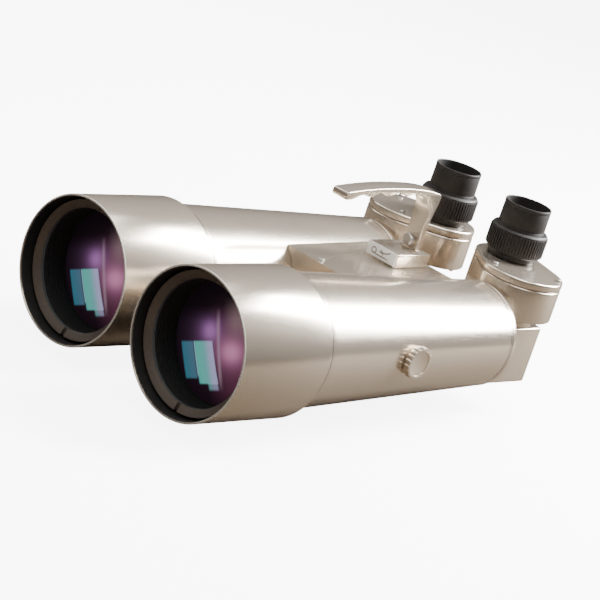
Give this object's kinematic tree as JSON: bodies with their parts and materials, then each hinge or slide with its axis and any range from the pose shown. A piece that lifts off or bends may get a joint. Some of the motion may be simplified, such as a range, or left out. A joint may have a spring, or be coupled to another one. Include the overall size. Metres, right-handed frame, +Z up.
{
  "type": "binoculars",
  "caption": "Large twin-tube observing binoculars with upright swivelling eyepieces, sliding dew shields, an arched carry handle and a mounting foot.",
  "frame": {"origin": "centre of the object's footprint, on the plane of the mounting foot's underside", "axes": "+Y runs back along the tubes to the eyepieces, +Z up, +X towards the left tube as the user looks forward along -Y"},
  "size_m": [0.2132, 0.363, 0.1483],
  "materials": {
    "champagne_paint": "satin champagne paint on light alloy",
    "black_anodised": "matt black anodised alloy",
    "black_rubber": "fine-grained black rubber",
    "retainer_grey": "satin grey-brown anodised alloy",
    "coated_glass": "polished glass with green and purple coatings",
    "steel": "turned steel",
    "plate_white": null,
    "felt": "black felt guide strip"
  },
  "bodies": {
    "chassis": {"barrel_left": "champagne_paint", "barrel_right": "champagne_paint", "box_screw_left": "steel", "box_screw_right": "steel", "bridge_casting": "champagne_paint", "bridge_screw": "steel", "carry_handle": "champagne_paint", "end_ring_left": "champagne_paint", "end_ring_right": "champagne_paint", "erecting_prism_left": "coated_glass", "erecting_prism_right": "coated_glass", "foot_screw_front": "steel", "foot_screw_rear": "steel", "front_baffle_left": "black_anodised", "front_baffle_right": "black_anodised", "front_lens_left": "coated_glass", "front_lens_right": "coated_glass", "guide_ring_left": "felt", "guide_ring_right": "felt", "handle_block": "champagne_paint", "handle_lock_nut": "steel", "mounting_foot": "champagne_paint", "name_plate": "plate_white", "objective_cell_left": "black_anodised", "objective_cell_right": "black_anodised", "prism_box_left": "champagne_paint", "prism_box_right": "champagne_paint", "rear_lens_left": "coated_glass", "rear_lens_right": "coated_glass", "retaining_ring_left": "retainer_grey", "retaining_ring_right": "retainer_grey", "swivel_collar_left": "black_anodised", "swivel_collar_right": "black_anodised"},
    "dew_shield_slider_left": {"dew_shield_left": "champagne_paint"},
    "turret_left": {"turret_body_left": "champagne_paint", "turret_lid_left": "champagne_paint", "rhomboid_prism_left": "coated_glass", "eyepiece_base_left": "black_anodised", "lid_screw_outer_left": "steel", "lid_screw_front_left": "steel", "stop_screw_left": "steel"},
    "focuser_left": {"focus_ring_left": "black_rubber"},
    "ocular_left": {"eyepiece_sleeve_left": "black_anodised", "eye_lens_left": "coated_glass"},
    "cup_left": {"eyecup_left": "black_rubber"},
    "knob_left": {"side_knob_left": "champagne_paint"},
    "dew_shield_slider_right": {"dew_shield_right": "champagne_paint"},
    "turret_right": {"turret_body_right": "champagne_paint", "turret_lid_right": "champagne_paint", "rhomboid_prism_right": "coated_glass", "eyepiece_base_right": "black_anodised", "lid_screw_outer_right": "steel", "lid_screw_front_right": "steel", "stop_screw_right": "steel"},
    "focuser_right": {"focus_ring_right": "black_rubber"},
    "ocular_right": {"eyepiece_sleeve_right": "black_anodised", "eye_lens_right": "coated_glass"},
    "cup_right": {"eyecup_right": "black_rubber"},
    "knob_right": {"side_knob_right": "champagne_paint"},
    "thumb_screw": {"handle_thumb_screw": "steel"}
  },
  "joints": [
    {"name": "dew_shield_slide_left", "type": "slide", "parent": "chassis", "child": "dew_shield_slider_left", "axis": [0, -1, 0], "range_m": [0, 0.045]},
    {"name": "turret_swivel_left", "type": "hinge", "parent": "chassis", "child": "turret_left", "pos_m": [0.0565, 0.1432, 0.0763], "axis": [0, 0, 1], "range_deg": [-14, 29]},
    {"name": "focus_turn_left", "type": "hinge", "parent": "turret_left", "child": "focuser_left", "pos_m": [0.0344, 0.1556, 0.1208], "axis": [0, 0, 1], "range_deg": [-144.5, 216.5]},
    {"name": "focus_travel_left", "type": "slide", "parent": "turret_left", "child": "ocular_left", "axis": [0, 0, 1], "range_m": [-0.002, 0.003]},
    {"name": "eyecup_slide_left", "type": "slide", "parent": "ocular_left", "child": "cup_left", "axis": [0, 0, 1], "range_m": [-0.008, 0]},
    {"name": "side_knob_turn_left", "type": "hinge", "parent": "chassis", "child": "knob_left", "pos_m": [0.1018, -0.0051, 0.06], "axis": [1, 0, 0], "range_deg": [0, 720]},
    {"name": "dew_shield_slide_right", "type": "slide", "parent": "chassis", "child": "dew_shield_slider_right", "axis": [0, -1, 0], "range_m": [0, 0.045]},
    {"name": "turret_swivel_right", "type": "hinge", "parent": "chassis", "child": "turret_right", "pos_m": [-0.0565, 0.1432, 0.0763], "axis": [0, 0, -1], "range_deg": [-14, 29]},
    {"name": "focus_turn_right", "type": "hinge", "parent": "turret_right", "child": "focuser_right", "pos_m": [-0.0344, 0.1556, 0.1208], "axis": [0, 0, 1], "range_deg": [-144.5, 216.5]},
    {"name": "focus_travel_right", "type": "slide", "parent": "turret_right", "child": "ocular_right", "axis": [0, 0, 1], "range_m": [-0.002, 0.003]},
    {"name": "eyecup_slide_right", "type": "slide", "parent": "ocular_right", "child": "cup_right", "axis": [0, 0, 1], "range_m": [-0.008, 0]},
    {"name": "side_knob_turn_right", "type": "hinge", "parent": "chassis", "child": "knob_right", "pos_m": [-0.1018, -0.0051, 0.06], "axis": [-1, 0, 0], "range_deg": [0, 720]},
    {"name": "thumb_screw_turn", "type": "hinge", "parent": "chassis", "child": "thumb_screw", "pos_m": [0, 0.0786, 0.1057], "axis": [0, -1, 0], "range_deg": [0, 720]}
  ],
  "couplings": [
    {"joint": "focus_turn_left", "follows": "focus_travel_left", "rad_per_m": 1256.6},
    {"joint": "focus_turn_right", "follows": "focus_travel_right", "rad_per_m": 1256.6}
  ]
}
